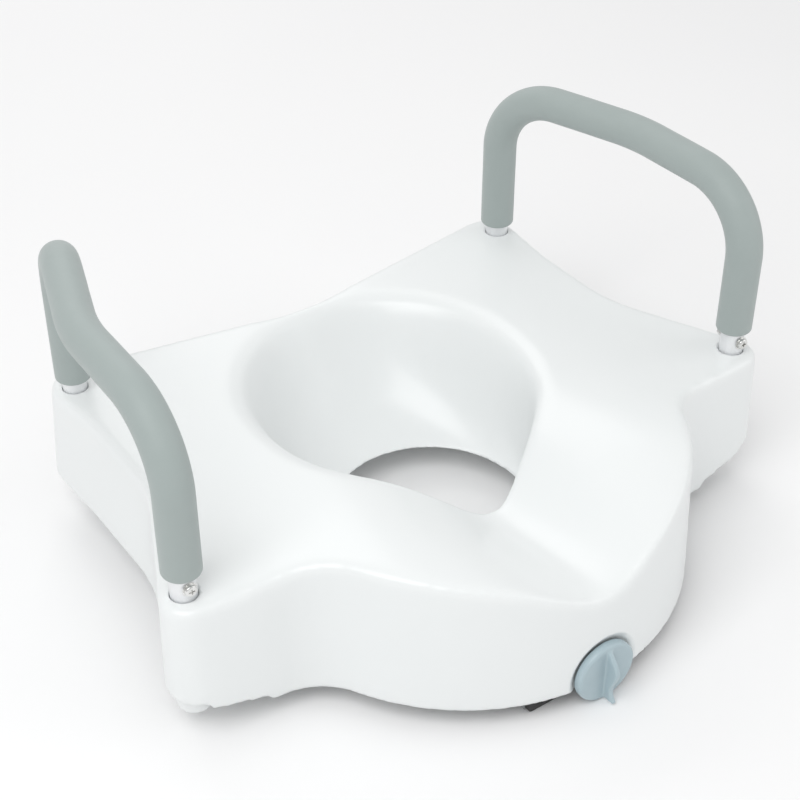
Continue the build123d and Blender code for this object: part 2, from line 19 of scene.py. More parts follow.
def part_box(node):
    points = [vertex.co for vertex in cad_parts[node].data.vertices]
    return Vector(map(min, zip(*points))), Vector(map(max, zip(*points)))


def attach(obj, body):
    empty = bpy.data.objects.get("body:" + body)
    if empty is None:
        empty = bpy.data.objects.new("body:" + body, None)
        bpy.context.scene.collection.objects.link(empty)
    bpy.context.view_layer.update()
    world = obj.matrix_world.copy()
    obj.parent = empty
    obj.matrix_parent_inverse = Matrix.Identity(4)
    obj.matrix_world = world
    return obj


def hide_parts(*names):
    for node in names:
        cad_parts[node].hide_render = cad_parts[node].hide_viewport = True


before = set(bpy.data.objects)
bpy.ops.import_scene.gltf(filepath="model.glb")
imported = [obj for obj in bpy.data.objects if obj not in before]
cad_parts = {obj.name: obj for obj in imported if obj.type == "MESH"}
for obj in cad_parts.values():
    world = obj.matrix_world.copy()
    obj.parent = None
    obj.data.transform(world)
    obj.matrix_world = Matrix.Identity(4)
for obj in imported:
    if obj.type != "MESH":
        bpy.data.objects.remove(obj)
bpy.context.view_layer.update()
NOISE_LOW = 0.3     # most of a noise's values lie between these two
NOISE_HIGH = 0.7
FACETS = 48         # points round a small circle

log = logging.getLogger("raised_seat")

Colour = tuple[float, float, float]


class Side(Enum):
    """The two arms, by the sign of their X."""

    LEFT = -1
    RIGHT = 1

    @property
    def tag(self) -> str:
        """The side's word in node and body names."""
        return self.name.lower()


class Slot(Enum):
    """The record's material slots."""

    BODY = "white_body"
    TUBE = "arm_tube"
    FOAM = "foam_grip"
    PLUG = "end_plug"
    RUBBER = "black_rubber"
    KNOB = "knob_plastic"
    STEEL = "clamp_steel"
    ZINC = "zinc_steel"


# ------------------------------------------------------------------ finishes
class Graph:
    """A material's node tree, with short ways to add and join nodes."""

    def __init__(self, name: str) -> None:
        """Starts a material with a principled shader.

        Args:
            name: the material's name.
        """
        self.material = bpy.data.materials.new(name)
        self.material.use_nodes = True
        self.tree = self.material.node_tree
        self.shader = self.tree.nodes["Principled BSDF"]
        coordinates = self.tree.nodes.new("ShaderNodeTexCoord")
        self.place = coordinates.outputs["Object"]

    def noise(self, size: float, detail: float = 3.0, rough: float = 0.5,
              stretch: Colour = (1.0, 1.0, 1.0)) -> bpy.types.NodeSocket:
        """Adds a noise texture.

        Args:
            size: the size of its features, in metres.
            detail: octaves.
            rough: how strong the fine octaves are.
            stretch: factors on the three axes, above 1 for finer.

        Returns:
            The noise value's socket.
        """
        mapping = self.tree.nodes.new("ShaderNodeMapping")
        mapping.inputs["Scale"].default_value = stretch
        self.tree.links.new(self.place, mapping.inputs["Vector"])
        texture = self.tree.nodes.new("ShaderNodeTexNoise")
        texture.inputs["Scale"].default_value = 1.0 / size
        texture.inputs["Detail"].default_value = detail
        texture.inputs["Roughness"].default_value = rough
        self.tree.links.new(mapping.outputs["Vector"], texture.inputs["Vector"])
        return texture.outputs["Fac"]

    def cells(self, size: float) -> bpy.types.NodeSocket:
        """Adds a Voronoi texture.

        Args:
            size: the size of a cell, in metres.

        Returns:
            The socket of the distance to a cell's middle.
        """
        texture = self.tree.nodes.new("ShaderNodeTexVoronoi")
        texture.inputs["Scale"].default_value = 1.0 / size
        self.tree.links.new(self.place, texture.inputs["Vector"])
        return texture.outputs["Distance"]

    def edge_wear(self, sharp: float, soft: float) -> bpy.types.NodeSocket:
        """Adds a mask that is 1 on outward edges.

        Args:
            sharp: pointiness at which the mask is 1.
            soft: pointiness at which it starts.

        Returns:
            The mask's socket.
        """
        geometry = self.tree.nodes.new("ShaderNodeNewGeometry")
        return self.spread(geometry.outputs["Pointiness"], soft, sharp, 0.0, 1.0)

    def spread(self, value: bpy.types.NodeSocket, low: float, high: float, out_low: float,
               out_high: float) -> bpy.types.NodeSocket:
        """Maps one range of values to another.

        Args:
            value: the socket to map.
            low: value that gives out_low.
            high: value that gives out_high.
            out_low: lowest result.
            out_high: highest result.

        Returns:
            The result's socket.
        """
        node = self.tree.nodes.new("ShaderNodeMapRange")
        for name, number in (("From Min", low), ("From Max", high),
                             ("To Min", out_low), ("To Max", out_high)):
            node.inputs[name].default_value = number
        self.tree.links.new(value, node.inputs["Value"])
        return node.outputs["Result"]

    def colour_between(self, factor: bpy.types.NodeSocket, first: Colour,
                       second: Colour) -> bpy.types.NodeSocket:
        """Mixes two colours.

        Args:
            factor: 0 for the first, 1 for the second.
            first: linear colour.
            second: linear colour.

        Returns:
            The mixed colour's socket.
        """
        node = self.tree.nodes.new("ShaderNodeMix")
        node.data_type = "RGBA"
        node.inputs["A"].default_value = (*first, 1.0)
        node.inputs["B"].default_value = (*second, 1.0)
        self.tree.links.new(factor, node.inputs["Factor"])
        return node.outputs["Result"]

    def feed(self, name: str, value: bpy.types.NodeSocket) -> None:
        """Joins a socket to a shader input."""
        self.tree.links.new(value, self.shader.inputs[name])

    def bumps(self, layers: Iterable[tuple[bpy.types.NodeSocket, float]]) -> None:
        """Stacks bump layers on the shader's normal.

        Args:
            layers: each height socket with its depth in metres.
        """
        normal = None
        for height, depth in layers:
            bump = self.tree.nodes.new("ShaderNodeBump")
            bump.inputs["Strength"].default_value = 1.0
            bump.inputs["Distance"].default_value = depth
            self.tree.links.new(height, bump.inputs["Height"])
            if normal is not None:
                self.tree.links.new(normal, bump.inputs["Normal"])
            normal = bump.outputs["Normal"]
        if normal is not None:
            self.feed("Normal", normal)


@dataclass(frozen=True)
class MouldedPlastic:
    """Hard moulded plastic with a fine orange-peel skin."""

    name: str
    colour: Colour
    tint: Colour
    gloss: float
    peel: float
    peel_depth: float
    patch: float
    scatter: float = 0.0
    coat: float = 0.0
    gloss_swing: float = 0.012
    scatter_reach: float = 0.004
    coat_gloss: float = 0.12
    ior: float = 1.5
    wave: float = 16.0
    wave_depth: float = 6.0

    def make(self) -> bpy.types.Material:
        """Builds the material.

        Returns:
            The material.
        """
        g = Graph(self.name)
        g.feed("Base Color", g.colour_between(g.noise(self.patch, 4.0), self.colour, self.tint))
        g.feed("Roughness", g.spread(g.noise(self.patch, 1.0), NOISE_LOW, NOISE_HIGH,
                                     self.gloss - self.gloss_swing,
                                     self.gloss + self.gloss_swing))
        g.shader.inputs["Subsurface Weight"].default_value = self.scatter
        g.shader.inputs["Subsurface Radius"].default_value = (self.scatter_reach,) * 3
        g.shader.inputs["Subsurface Scale"].default_value = 1.0
        g.shader.inputs["Coat Weight"].default_value = self.coat
        g.shader.inputs["Coat Roughness"].default_value = self.coat_gloss
        g.shader.inputs["IOR"].default_value = self.ior
        g.bumps([(g.noise(self.peel * self.wave, 1.0), self.peel_depth * self.wave_depth),
                 (g.noise(self.peel, 1.0), self.peel_depth)])
        return g.material


@dataclass(frozen=True)
class FoamSkin:
    """Closed-cell foam with a smooth skin that shows fine pores."""

    name: str
    colour: Colour
    worn: Colour
    pore: float
    pore_depth: float
    mottle: float = 16.0
    gloss_patch: float = 6.0
    gloss_low: float = 0.52
    gloss_high: float = 0.58
    sheen: float = 0.18
    sheen_gloss: float = 0.55
    specular: float = 0.42

    def make(self) -> bpy.types.Material:
        """Builds the material.

        Returns:
            The material.
        """
        g = Graph(self.name)
        mottle = g.noise(self.pore * self.mottle, 5.0, 0.62)
        g.feed("Base Color", g.colour_between(mottle, self.colour, self.worn))
        g.feed("Roughness", g.spread(g.noise(self.pore * self.gloss_patch, 4.0), NOISE_LOW,
                                     NOISE_HIGH, self.gloss_low, self.gloss_high))
        g.shader.inputs["Sheen Weight"].default_value = self.sheen
        g.shader.inputs["Sheen Roughness"].default_value = self.sheen_gloss
        g.shader.inputs["Specular IOR Level"].default_value = self.specular
        g.bumps([(g.cells(self.pore * 1.6), self.pore_depth * 0.5),
                 (g.noise(self.pore, 4.0, 0.6), self.pore_depth * 0.6)])
        return g.material


@dataclass(frozen=True)
class Metal:
    """Metal with duller patches and a fine grain, which may run along one axis."""

    name: str
    colour: Colour
    dull: Colour
    gloss: float
    grain: float
    grain_depth: float
    stretch: Colour
    metallic: float = 1.0
    cloud: float = 18.0
    dent: float = 9.0
    dent_depth: float = 1.5

    def make(self) -> bpy.types.Material:
        """Builds the material.

        Returns:
            The material.
        """
        g = Graph(self.name)
        cloud = g.spread(g.noise(self.grain * self.cloud, 4.0), 0.35, 0.65, 0.0, 1.0)
        g.feed("Base Color", g.colour_between(cloud, self.colour, self.dull))
        lines = g.noise(self.grain, 3.0, 0.55, self.stretch)
        g.feed("Roughness", g.spread(lines, NOISE_LOW, NOISE_HIGH, self.gloss - 0.06,
                                     self.gloss + 0.07))
        g.shader.inputs["Metallic"].default_value = self.metallic
        g.bumps([(g.noise(self.grain * self.dent, 2.0), self.grain_depth * self.dent_depth),
                 (lines, self.grain_depth)])
        return g.material


@dataclass(frozen=True)
class Rubber:
    """Matt black rubber with a fine moulded grain and dusty edges."""

    name: str
    colour: Colour
    dusty: Colour
    grain: float
    cell_depth: float = 0.00008
    grain_depth: float = 0.00012

    def make(self) -> bpy.types.Material:
        """Builds the material.

        Returns:
            The material.
        """
        g = Graph(self.name)
        g.feed("Base Color", g.colour_between(g.edge_wear(0.62, 0.5), self.colour, self.dusty))
        g.feed("Roughness", g.spread(g.noise(self.grain * 8, 4.0), NOISE_LOW, NOISE_HIGH,
                                     0.58, 0.75))
        g.bumps([(g.cells(self.grain), self.cell_depth),
                 (g.noise(self.grain * 4), self.grain_depth)])
        return g.material


FINISHES: dict[Slot, MouldedPlastic | FoamSkin | Metal | Rubber] = {
    Slot.BODY: MouldedPlastic("white polyethylene", (0.835, 0.855, 0.855), (0.815, 0.84, 0.84),
                              0.3, 0.0032, 0.00001, 0.09, scatter=0.05, coat=0.1),
    Slot.TUBE: Metal("satin anodised tube", (0.88, 0.89, 0.90), (0.82, 0.83, 0.845),
                     0.42, 0.0012, 0.000004, (1.0, 1.0, 0.15), metallic=0.55),
    Slot.FOAM: FoamSkin("grey foam", (0.355, 0.405, 0.395), (0.335, 0.385, 0.374), 0.0008,
                        0.00003),
    Slot.PLUG: MouldedPlastic("black plug", (0.03, 0.03, 0.032), (0.04, 0.04, 0.042),
                              0.45, 0.0008, 0.00004, 0.02),
    Slot.RUBBER: Rubber("black rubber", (0.018, 0.018, 0.018), (0.05, 0.05, 0.05), 0.0006),
    Slot.KNOB: MouldedPlastic("blue-grey knob", (0.42, 0.52, 0.56), (0.39, 0.49, 0.53),
                              0.34, 0.0014, 0.000005, 0.02, scatter=0.03, coat=0.1),
    Slot.STEEL: Metal("grey painted steel", (0.36, 0.38, 0.39), (0.31, 0.33, 0.34),
                      0.42, 0.0012, 0.00003, (1.0, 1.0, 1.0), metallic=0.35),
    Slot.ZINC: Metal("bright zinc", (0.80, 0.80, 0.79), (0.66, 0.66, 0.64),
                     0.24, 0.0005, 0.00002, (1.0, 1.0, 1.0)),
}


class Workshop:
    """Makes pieces out of meshes, gives them their finish and sets them on their bodies."""

    def __init__(self) -> None:
        """Makes every finish once."""
        self.materials = {slot: finish.make() for slot, finish in FINISHES.items()}

    def add(self, name: str, mesh: bpy.types.Mesh, slot: Slot, body: str,
            stands_for: Sequence[str] = ()) -> bpy.types.Object:
        """Adds a piece to the scene.

        Args:
            name: the piece's name.
            mesh: its mesh, in the frame's metres.
            slot: its finish.
            body: the body it rides on.
            stands_for: the frame's nodes that it replaces.

        Returns:
            The piece.
        """
        piece = bpy.data.objects.new(name, mesh)
        bpy.context.scene.collection.objects.link(piece)
        mesh.materials.clear()
        mesh.materials.append(self.materials[slot])
        mesh.polygons.foreach_set("use_smooth", [True] * len(mesh.polygons))
        mesh.update()
        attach(piece, body)
        if stands_for:
            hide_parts(*stands_for)
        log.info("%s: %d faces on %s", name, len(mesh.polygons), body)
        return piece

    def dress(self, node: str, slot: Slot) -> None:
        """Gives a node of the frame its finish.

        Args:
            node: the node's name.
            slot: its finish.
        """
        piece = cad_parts[node]
        piece.data.materials.clear()
        piece.data.materials.append(self.materials[slot])
        log.info("%s: frame's own shape, %s", node, slot.value)


# ------------------------------------------------------------------ mesh tools
def mesh_from(verts: np.ndarray, faces: Sequence[Sequence[int]], name: str) -> bpy.types.Mesh:
    """Makes a mesh.

    Args:
        verts: points, in metres.
        faces: each face's point numbers.
        name: the mesh's name.

    Returns:
        The mesh.
    """
    mesh = bpy.data.meshes.new(name)
    mesh.from_pydata([tuple(v) for v in verts], [], [tuple(f) for f in faces])
    mesh.update()
    return mesh


def turned(profile: Sequence[tuple[float, float]], name: str, count: int) -> bpy.types.Mesh:
    """Turns a profile about Z into a closed solid.

    Args:
        profile: (radius, height) points from the lower middle to the upper middle.
        name: the mesh's name.
        count: points round a turn.

    Returns:
        The mesh.
    """
    bm = bmesh.new()
    rings = []
    for radius, height in profile:
        if radius == 0.0:
            rings.append([bm.verts.new((0.0, 0.0, height))])
            continue
        rings.append([bm.verts.new((radius * math.cos(a), radius * math.sin(a), height))
                      for a in (2 * math.pi * i / count for i in range(count))])
    for low, high in zip(rings, rings[1:]):
        for i in range(count):
            j = (i + 1) % count
            corners = [low[i % len(low)], low[j % len(low)], high[j % len(high)],
                       high[i % len(high)]]
            bm.faces.new(list(dict.fromkeys(corners)))
    bmesh.ops.recalc_face_normals(bm, faces=bm.faces)
    mesh = bpy.data.meshes.new(name)
    bm.to_mesh(mesh)
    bm.free()
    return mesh


def result_of(mesh: bpy.types.Mesh, dress: Callable[[bpy.types.Object], None]) -> bpy.types.Mesh:
    """Runs modifiers on a mesh and gives the result back as a mesh.

    Args:
        mesh: the start.
        dress: adds the modifiers to a stand-in object.

    Returns:
        The changed mesh.
    """
    holder = bpy.data.objects.new("holder", mesh)
    bpy.context.scene.collection.objects.link(holder)
    dress(holder)
    graph = bpy.context.evaluated_depsgraph_get()
    made = bpy.data.meshes.new_from_object(holder.evaluated_get(graph))
    bpy.data.objects.remove(holder)
    return made


def remeshed(mesh: bpy.types.Mesh, voxel: float) -> bpy.types.Mesh:
    """Rebuilds a closed mesh out of even small squares.

    Args:
        mesh: a closed mesh, or several that overlap.
        voxel: the squares' size, in metres.

    Returns:
        The new mesh.
    """
    def dress(holder: bpy.types.Object) -> None:
        """Adds the remesh."""
        modifier = holder.modifiers.new("even", "REMESH")
        modifier.mode = "VOXEL"
        modifier.voxel_size = voxel
        modifier.adaptivity = 0.0

    return result_of(mesh, dress)


def cut(mesh: bpy.types.Mesh, tools: Sequence[bpy.types.Mesh]) -> bpy.types.Mesh:
    """Cuts closed tools out of a closed mesh.

    Args:
        mesh: the mesh to cut.
        tools: the closed meshes to take away.

    Returns:
        The cut mesh.
    """
    cutters = []
    for number, tool in enumerate(tools):
        cutter = bpy.data.objects.new(f"cutter_{number}", tool)
        bpy.context.scene.collection.objects.link(cutter)
        cutters.append(cutter)

    def dress(holder: bpy.types.Object) -> None:
        """Adds one cut for each tool."""
        for cutter in cutters:
            modifier = holder.modifiers.new("cut", "BOOLEAN")
            modifier.operation = "DIFFERENCE"
            modifier.solver = "MANIFOLD"
            modifier.object = cutter

    made = result_of(mesh, dress)
    for cutter in cutters:
        bpy.data.objects.remove(cutter)
    return made


def points_of(mesh: bpy.types.Mesh) -> np.ndarray:
    """A mesh's points as rows."""
    rows = np.empty(len(mesh.vertices) * 3)
    mesh.vertices.foreach_get("co", rows)
    return rows.reshape(-1, 3)


def relax(mesh: bpy.types.Mesh, weight: np.ndarray, rounds: int) -> None:
    """Softens a mesh's edges, each point by its own weight.

    Args:
        mesh: the mesh, changed in place.
        weight: share of the way to its neighbours' middle that each point moves in a round.
        rounds: how many times.
    """
    pairs = np.empty(len(mesh.edges) * 2, dtype=np.int64)
    mesh.edges.foreach_get("vertices", pairs)
    first, second = pairs[0::2], pairs[1::2]
    points = points_of(mesh)
    count = len(points)
    valence = np.bincount(pairs, minlength=count).astype(float)[:, None]
    for _ in range(rounds):
        total = np.empty_like(points)
        for axis in range(3):
            column = points[:, axis]
            total[:, axis] = (np.bincount(first, weights=column[second], minlength=count)
                              + np.bincount(second, weights=column[first], minlength=count))
        points += weight[:, None] * (total / valence - points)
    mesh.vertices.foreach_set("co", points.astype(np.float32).ravel())
    mesh.update()


def smooth_step(value: np.ndarray, low: float, high: float) -> np.ndarray:
    """Rises smoothly from 0 at low to 1 at high."""
    t = np.clip((value - low) / (high - low), 0.0, 1.0)
    return t * t * (3 - 2 * t)


def welded(mesh: bpy.types.Mesh) -> bmesh.types.BMesh:
    """Copies a mesh with its doubled points joined.

    Args:
        mesh: the mesh to copy.

    Returns:
        A BMesh that the caller frees.
    """
    bm = bmesh.new()
    bm.from_mesh(mesh)
    bmesh.ops.remove_doubles(bm, verts=bm.verts, dist=2e-6)
    return bm


def outermost(bm: bmesh.types.BMesh) -> None:
    """Keeps only the largest of a mesh's separate surfaces.

    Args:
        bm: the mesh, changed in place.
    """
    unseen = set(bm.verts)
    groups = []
    while unseen:
        start = unseen.pop()
        group = [start]
        stack = [start]
        while stack:
            for edge in stack.pop().link_edges:
                for vert in edge.verts:
                    if vert in unseen:
                        unseen.remove(vert)
                        group.append(vert)
                        stack.append(vert)
        groups.append(group)

    def reach(group: list[bmesh.types.BMVert]) -> float:
        """Width of a group along X."""
        return max(v.co.x for v in group) - min(v.co.x for v in group)

    groups.sort(key=reach)
    for group in groups[:-1]:
        bmesh.ops.delete(bm, geom=group, context="VERTS")


@dataclass(frozen=True)
class BentPath:
    """A centre line of straight runs joined by arcs."""

    corners: tuple[Vector, ...]
    radii: tuple[float, ...]

    def points(self, step: float) -> list[Vector]:
        """Points along the line.

        Args:
            step: the greatest distance between points.

        Returns:
            The points, ends included.
        """
        line = [self.corners[0]]
        for before, corner, after, radius in zip(self.corners, self.corners[1:],
                                                 self.corners[2:], self.radii):
            into = (corner - before).normalized()
            out = (after - corner).normalized()
            turn = into.angle(out)
            reach = radius * math.tan(turn / 2)
            inward = (out - into).normalized()
            centre = corner + inward * (radius / math.cos(turn / 2))
            start = corner - into * reach
            line += self.run(line[-1], start, step)
            arm = start - centre
            axis = into.cross(out).normalized()
            pieces = max(2, math.ceil(radius * turn / step))
            line += [centre + Matrix.Rotation(turn * i / pieces, 3, axis) @ arm
                     for i in range(1, pieces + 1)]
        line += self.run(line[-1], self.corners[-1], step)
        return line

    @staticmethod
    def run(start: Vector, end: Vector, step: float) -> list[Vector]:
        """Even points after start up to end.

        Args:
            start: first end, left out.
            end: last end, included.
            step: the greatest distance between points.

        Returns:
            The points.
        """
        pieces = max(1, math.ceil((end - start).length / step))
        return [start.lerp(end, i / pieces) for i in range(1, pieces + 1)]


# ------------------------------------------------------------------ seat shell
@dataclass
class SeatShell:
    """The white blow-moulded body, with rounded edges, four sockets and the knob's recess."""

    name: str = "seat_body"
    node: str = "seat_shell"
    voxel: float = 0.0021
    edge_rounds: int = 26
    bowl_rounds: int = 60
    socket_radius: float = 0.01055
    socket_flare: float = 0.0009
    socket_floor: float = 0.005
    foot_fill: float = 0.0125
    fill_proud: float = 0.0001
    fill_lift: float = 0.0012
    block_half_width: float = 0.042
    block_depth: float = 0.010
    block_columns: int = 16
    recess_margin: float = 0.0012
    recess_bevel: float = 0.0085
    recess_depth: float = 0.006
    nose_radius: float = 0.185
    nose_draft: float = 0.005
    skirt_drop: float = 0.1095
    leg_front_x: float = 0.262
    leg_rear_x: float = 0.217
    leg_spacing: float = 0.266
    nose_setback: float = 0.104
    knob_radius: float = 0.0265
    tube_radius: float = 0.01
    skirt_soft: tuple[float, float] = (0.012, 0.035)
    bowl_half_width: float = 0.118
    bowl_half_length: float = 0.124
    bowl_setback: float = 0.004
    lip_band: tuple[float, float] = (0.06, 0.2)
    lip_drop: tuple[float, float] = (0.035, 0.012)

    def __post_init__(self) -> None:
        """Takes the levels and places from the frame."""
        low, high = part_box(self.node)
        tube_low, tube_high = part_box("arm_tube_right")
        self.front_y = tube_low.y + self.tube_radius
        self.rear_y = tube_high.y - self.tube_radius
        self.mid_y = (self.front_y + self.rear_y) / 2
        self.skirt_z = low.z
        self.deck_z = self.skirt_z + self.skirt_drop
        knob_low, knob_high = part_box("lock_knob")
        self.axis_z = (knob_low.z + knob_high.z) / 2
        self.nose_y = self.mid_y - self.nose_setback

    def nose_radius_at(self, height: float) -> float:
        """The round front's radius at a height."""
        return self.nose_radius - self.nose_draft * (height - self.skirt_z) / self.skirt_drop

    @property
    def nose_face_y(self) -> float:
        """The front face's Y at the knob's axis."""
        return self.nose_y - self.nose_radius_at(self.axis_z)

    @property
    def legs(self) -> list[tuple[float, float]]:
        """The four sockets' places."""
        return [(side.value * x, y) for side in Side
                for x, y in ((self.leg_front_x, self.front_y), (self.leg_rear_x, self.rear_y))]

    def filled(self) -> bpy.types.Mesh:
        """The frame's outer surface with its sockets and recess filled.

        Returns:
            Closed meshes that overlap.
        """
        bm = welded(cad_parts[self.node].data)
        outermost(bm)
        for x, y in self.legs:
            top = self.deck_z + self.fill_proud
            base = self.skirt_z + self.fill_lift
            place = Matrix.Translation((x, y, (top + base) / 2))
            bmesh.ops.create_cone(bm, cap_ends=True, segments=FACETS, radius1=self.foot_fill,
                                  radius2=self.foot_fill, depth=top - base, matrix=place)
        self.fill_recess(bm)
        mesh = bpy.data.meshes.new("filled")
        bm.to_mesh(mesh)
        bm.free()
        return mesh

    def fill_recess(self, bm: bmesh.types.BMesh) -> None:
        """Adds a block that follows the round front over the knob's recess.

        Args:
            bm: the mesh to add it to.
        """
        half = self.block_half_width / self.nose_radius
        columns = self.block_columns
        top = self.axis_z + self.knob_radius + self.recess_margin + self.recess_bevel
        rings = []
        for height in (self.skirt_z, top):
            for depth in (self.block_depth, 0.0):
                radius = self.nose_radius_at(height) - depth
                rings.append([bm.verts.new((radius * math.sin(a),
                                            self.nose_y - radius * math.cos(a), height))
                              for a in (half * (2 * i / columns - 1)
                                        for i in range(columns + 1))])
        back_low, front_low, back_high, front_high = rings
        walls = ((front_low, front_high), (back_high, back_low), (back_low, front_low),
                 (front_high, back_high))
        for first, second in walls:
            for i in range(columns):
                bm.faces.new((first[i], first[i + 1], second[i + 1], second[i]))
        for i in (0, columns):
            corners = [front_low[i], front_high[i], back_high[i], back_low[i]]
            bm.faces.new(corners if i == 0 else corners[::-1])

    def soften(self, mesh: bpy.types.Mesh) -> None:
        """Rounds the edges: most on the bowl's lip, least on the thin skirt.

        Args:
            mesh: the even mesh, changed in place.
        """
        points = points_of(mesh)
        low, high = self.skirt_soft
        high = smooth_step(points[:, 2], self.skirt_z + low, self.skirt_z + high)
        relax(mesh, 0.05 + 0.45 * high, self.edge_rounds)
        points = points_of(mesh)
        bowl = np.hypot(points[:, 0] / self.bowl_half_width,
                        (points[:, 1] - self.mid_y + self.bowl_setback) / self.bowl_half_length)
        near = 1 - smooth_step(np.abs(bowl - 1.0), *self.lip_band)
        low, high = self.lip_drop
        upper = smooth_step(points[:, 2], self.deck_z - low, self.deck_z - high)
        relax(mesh, 0.5 * near * upper, self.bowl_rounds)

    def socket_tool(self, x: float, y: float) -> bpy.types.Mesh:
        """The cutter of one leg's socket, flared at the deck.

        Args:
            x: the leg's X.
            y: the leg's Y.

        Returns:
            The closed cutter.
        """
        r = self.socket_radius
        flare = self.socket_flare
        top = self.deck_z
        profile = [(0.0, self.skirt_z + self.socket_floor), (r, self.skirt_z + self.socket_floor),
                   (r, top - flare), (r + 0.3 * flare, top - 0.45 * flare),
                   (r + flare, top + 0.1 * flare), (r + 2 * flare, top + 0.02),
                   (0.0, top + 0.02)]
        tool = turned(profile, "socket_tool", 64)
        tool.transform(Matrix.Translation((x, y, 0.0)))
        return tool

    def recess_tool(self) -> bpy.types.Mesh:
        """The cutter of the knob's recess, with a bevelled mouth.

        Returns:
            The closed cutter, its axis along Y.
        """
        r = self.knob_radius + self.recess_margin
        depth = self.recess_depth
        bevel = self.recess_bevel
        profile = [(0.0, -depth), (r - 0.001, -depth), (r, -depth + 0.001), (r, -0.0050),
                   (r + 0.0006, -0.0044), (r + 0.55 * bevel, -0.0025), (r + bevel, -0.0003),
                   (r + bevel + 0.003, 0.002), (r + bevel + 0.004, 0.02), (0.0, 0.02)]
        tool = turned(profile, "recess_tool", 128)
        tool.transform(Matrix.Translation((0.0, self.nose_face_y, self.axis_z))
                       @ Matrix.Rotation(math.pi / 2, 4, "X"))
        return tool

    def build(self, shop: Workshop) -> None:
        """Makes the shell and dresses it.

        Args:
            shop: the workshop that adds it.
        """
        mesh = remeshed(self.filled(), self.voxel)
        self.soften(mesh)
        tools = [self.socket_tool(x, y) for x, y in self.legs] + [self.recess_tool()]
        mesh = cut(mesh, tools)
        shop.add(self.name, mesh, Slot.BODY, "seat", [self.node])


# ------------------------------------------------------------------ arms
@dataclass
class Arm:
    """One lift-out arm: a bent tube with a foam sleeve, end plugs and a cross screw."""

    side: Side
    shell: SeatShell
    rail_rise: float = 0.146
    kink_x: float = 0.260
    corner_radius: float = 0.0575
    kink_radius: float = 0.140
    front_gap: float = 0.0205
    rear_gap: float = 0.010
    sleeve_radius: float = 0.015
    bore_radius: float = 0.0101
    end_round: float = 0.0026
    step: float = 0.003
    around: int = FACETS
    unevenness: float = 0.00012
    uneven_rate: float = 28.0
    end_steps: tuple[float, ...] = (0.0, 0.06, 0.2, 0.42, 0.7)

    @property
    def path(self) -> BentPath:
        """The sleeve's centre line."""
        s = self.shell
        sign = self.side.value
        rail = s.deck_z + self.rail_rise
        corners = (Vector((sign * s.leg_front_x, s.front_y, s.deck_z + self.front_gap)),
                   Vector((sign * s.leg_front_x, s.front_y, rail)),
                   Vector((sign * self.kink_x, s.mid_y, rail)),
                   Vector((sign * s.leg_rear_x, s.rear_y, rail)),
                   Vector((sign * s.leg_rear_x, s.rear_y, s.deck_z + self.rear_gap)))
        return BentPath(corners, (self.corner_radius, self.kink_radius, self.corner_radius))

    def radius_at(self, distance: float, length: float) -> float:
        """The sleeve's outer radius along its length.

        Args:
            distance: from the front end.
            length: the whole length.

        Returns:
            The radius.
        """
        near = min(distance, length - distance)
        if near >= self.end_round:
            return self.sleeve_radius
        rest = self.end_round - near
        return self.sleeve_radius - self.end_round + math.sqrt(self.end_round ** 2 - rest ** 2)

    def sleeve(self) -> bpy.types.Mesh:
        """The foam sleeve as a closed tube with rounded ends.

        Returns:
            The mesh.
        """
        line = self.path.points(self.step)
        fine = [line[0].lerp(line[1], t) for t in self.end_steps]
        tail = [line[-1].lerp(line[-2], t) for t in reversed(self.end_steps)]
        line = fine + line[1:-1] + tail
        lengths = np.concatenate([[0.0], np.cumsum([(b - a).length
                                                    for a, b in zip(line, line[1:])])])
        across = Vector((1.0, 0.0, 0.0))
        outer = []
        inner = []
        for number, centre in enumerate(line):
            along = (line[min(number + 1, len(line) - 1)] - line[max(number - 1, 0)]).normalized()
            across = (across - along * across.dot(along)).normalized()
            other = along.cross(across)
            outer_radius = self.radius_at(lengths[number], lengths[-1])
            for radius, bucket in ((outer_radius, outer), (self.bore_radius, inner)):
                ring = []
                for i in range(self.around):
                    angle = 2 * math.pi * i / self.around
                    out = across * math.cos(angle) + other * math.sin(angle)
                    point = centre + out * radius
                    if bucket is outer:
                        point += out * (self.unevenness
                                        * noise.noise(point * self.uneven_rate))
                    ring.append(tuple(point))
                bucket.append(ring)
        loops = outer + inner[::-1]
        verts = np.array([p for ring in loops for p in ring])
        n = self.around
        faces = [(a * n + i, a * n + (i + 1) % n, b * n + (i + 1) % n, b * n + i)
                 for a, b in zip(range(len(loops)), list(range(1, len(loops))) + [0])
                 for i in range(n)]
        mesh = mesh_from(verts, faces, "sleeve")
        bm = bmesh.new()
        bm.from_mesh(mesh)
        bmesh.ops.recalc_face_normals(bm, faces=bm.faces)
        bm.to_mesh(mesh)
        bm.free()
        return mesh

    def build(self, shop: Workshop) -> None:
        """Makes the sleeve and dresses the tube and its fittings.

        Args:
            shop: the workshop that adds them.
        """
        tag = self.side.tag
        grip = shop.add("grip_sleeve_" + tag, self.sleeve(), Slot.FOAM, tag + "_arm",
                        ["arm_grip_" + tag])
        shop.dress("arm_tube_" + tag, Slot.TUBE)
        shop.dress("arm_plugs_" + tag, Slot.PLUG)
        for fitting in ("screw", "washer", "nut"):
            shop.dress("arm_" + fitting + "_" + tag, Slot.ZINC)


